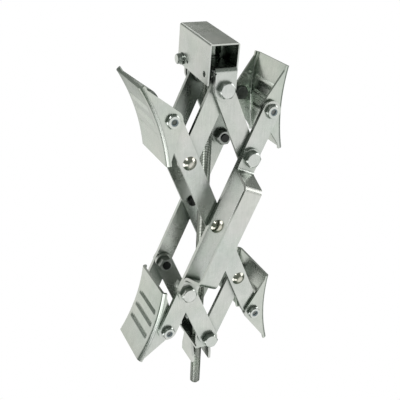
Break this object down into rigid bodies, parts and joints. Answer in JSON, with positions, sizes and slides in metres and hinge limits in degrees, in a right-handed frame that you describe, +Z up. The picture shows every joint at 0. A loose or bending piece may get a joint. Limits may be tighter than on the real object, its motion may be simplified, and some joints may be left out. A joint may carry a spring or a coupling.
{
  "type": "scissor wheel chock",
  "caption": "Folding scissor chock of zinc-plated steel bars that a central screw spreads between tandem wheels, with pivoting tyre pads, a carrying handle and a lock cover",
  "frame": {"origin": "on the rod's axis where the arms cross, midway between the front and rear arms", "axes": "+X from the left wheel to the right wheel, +Y from the handle's side to the rear, +Z up the rod to the drive nut"},
  "size_m": [0.1723, 0.1201, 0.4602],
  "materials": {
    "zinc_plate": "bright zinc plating on rolled flat bar, faint warm patches",
    "pad_zinc": "bright zinc plating on pressed sheet",
    "zinc_hardware": "satin zinc plating on bolts and nuts",
    "polished_zinc": "polished, slightly warm",
    "dark_zinc": "dark plated bolt ends",
    "rod_zinc": "zinc-plated rolled thread",
    "nylon": "translucent blue-grey nylon"
  },
  "bodies": {
    "root": {"centre_rivets": "polished_zinc"},
    "arm_a": {"arm_a_front": "zinc_plate", "arm_a_rear": "zinc_plate", "handle": "zinc_plate", "arm_a_front_bolts": "zinc_hardware", "arm_a_rear_bolts": "zinc_hardware", "arm_a_nuts": "zinc_hardware", "arm_a_pad_bolts": "dark_zinc", "arm_a_pad_nuts": "zinc_hardware", "arm_a_nut_inserts": "nylon"},
    "arm_b": {"arm_b_front": "zinc_plate", "arm_b_rear": "zinc_plate", "arm_b_rivets": "polished_zinc", "arm_b_pad_bolts": "dark_zinc", "arm_b_pad_nuts": "zinc_hardware", "arm_b_nut_inserts": "nylon"},
    "link_ur": {"link_upper_right_front": "zinc_plate", "link_upper_right_rear": "zinc_plate"},
    "link_ul": {"link_upper_left_front": "zinc_plate", "link_upper_left_rear": "zinc_plate"},
    "link_ll": {"link_lower_left_front": "zinc_plate", "link_lower_left_rear": "zinc_plate"},
    "link_lr": {"link_lower_right_front": "zinc_plate", "link_lower_right_rear": "zinc_plate"},
    "head": {"top_bracket": "zinc_plate", "top_pivot_bolts": "zinc_hardware", "top_pivot_nuts": "zinc_hardware", "thrust_washer": "polished_zinc", "cover_bolt": "zinc_hardware", "cover_bolt_nut": "zinc_hardware"},
    "cover": {"lock_cover": "zinc_plate"},
    "screw": {"threaded_rod": "rod_zinc", "drive_flange": "polished_zinc", "drive_nut": "zinc_hardware", "keeper_washer": "polished_zinc", "keeper_nut": "zinc_hardware"},
    "foot": {"bottom_bracket": "zinc_plate", "rod_nut": "zinc_hardware", "bottom_pivot_bolts": "zinc_hardware", "bottom_pivot_nuts": "zinc_hardware"},
    "pad_ul": {"pad_upper_left": "pad_zinc"},
    "pad_ll": {"pad_lower_left": "pad_zinc"},
    "pad_ur": {"pad_upper_right": "pad_zinc"},
    "pad_lr": {"pad_lower_right": "pad_zinc"}
  },
  "joints": [
    {"name": "arm_a_pivot", "type": "hinge", "parent": "root", "child": "arm_a", "pos_m": [0, 0, 0], "axis": [0, 1, 0], "range_deg": [-10, 24]},
    {"name": "arm_b_pivot", "type": "hinge", "parent": "root", "child": "arm_b", "pos_m": [0, 0, 0], "axis": [0, 1, 0], "range_deg": [-24, 10]},
    {"name": "link_ur_pivot", "type": "hinge", "parent": "arm_a", "child": "link_ur", "pos_m": [0.03457, 0, 0.07875], "axis": [0, 1, 0], "range_deg": [-48, 20]},
    {"name": "link_ll_pivot", "type": "hinge", "parent": "arm_a", "child": "link_ll", "pos_m": [-0.03457, 0, -0.07875], "axis": [0, 1, 0], "range_deg": [-48, 20]},
    {"name": "link_ul_pivot", "type": "hinge", "parent": "arm_b", "child": "link_ul", "pos_m": [-0.03457, 0, 0.07875], "axis": [0, 1, 0], "range_deg": [-20, 48]},
    {"name": "link_lr_pivot", "type": "hinge", "parent": "arm_b", "child": "link_lr", "pos_m": [0.03457, 0, -0.07875], "axis": [0, 1, 0], "range_deg": [-20, 48]},
    {"name": "head_pivot", "type": "hinge", "parent": "link_ur", "child": "head", "pos_m": [0, 0, 0.15749], "axis": [0, 1, 0], "range_deg": [-10, 24]},
    {"name": "foot_pivot", "type": "hinge", "parent": "link_ll", "child": "foot", "pos_m": [0, 0, -0.15749], "axis": [0, 1, 0], "range_deg": [-10, 24]},
    {"name": "screw_turn", "type": "hinge", "parent": "head", "child": "screw", "pos_m": [0, 0, 0.17649], "axis": [0, 0, 1], "continuous": true},
    {"name": "cover_hinge", "type": "hinge", "parent": "head", "child": "cover", "pos_m": [0, 0.0325, 0.17309], "axis": [-1, 0, 0], "range_deg": [0, 95]},
    {"name": "pad_ul_pivot", "type": "hinge", "parent": "arm_b", "child": "pad_ul", "pos_m": [-0.05668, 0, 0.12911], "axis": [0, 1, 0], "range_deg": [-8, 40]},
    {"name": "pad_ll_pivot", "type": "hinge", "parent": "arm_a", "child": "pad_ll", "pos_m": [-0.05668, 0, -0.12911], "axis": [0, 1, 0], "range_deg": [-40, 8]},
    {"name": "pad_ur_pivot", "type": "hinge", "parent": "arm_a", "child": "pad_ur", "pos_m": [0.05668, 0, 0.12911], "axis": [0, 1, 0], "range_deg": [-21, 27]},
    {"name": "pad_lr_pivot", "type": "hinge", "parent": "arm_b", "child": "pad_lr", "pos_m": [0.05668, 0, -0.12911], "axis": [0, 1, 0], "range_deg": [-27, 21]}
  ],
  "couplings": [
    {"joint": "arm_b_pivot", "follows": "arm_a_pivot", "ratio": -1},
    {"joint": "link_ur_pivot", "follows": "arm_a_pivot", "ratio": -2},
    {"joint": "link_ll_pivot", "follows": "arm_a_pivot", "ratio": -2},
    {"joint": "link_ul_pivot", "follows": "arm_a_pivot", "ratio": 2},
    {"joint": "link_lr_pivot", "follows": "arm_a_pivot", "ratio": 2},
    {"joint": "head_pivot", "follows": "arm_a_pivot", "ratio": 1},
    {"joint": "foot_pivot", "follows": "arm_a_pivot", "ratio": 1}
  ]
}
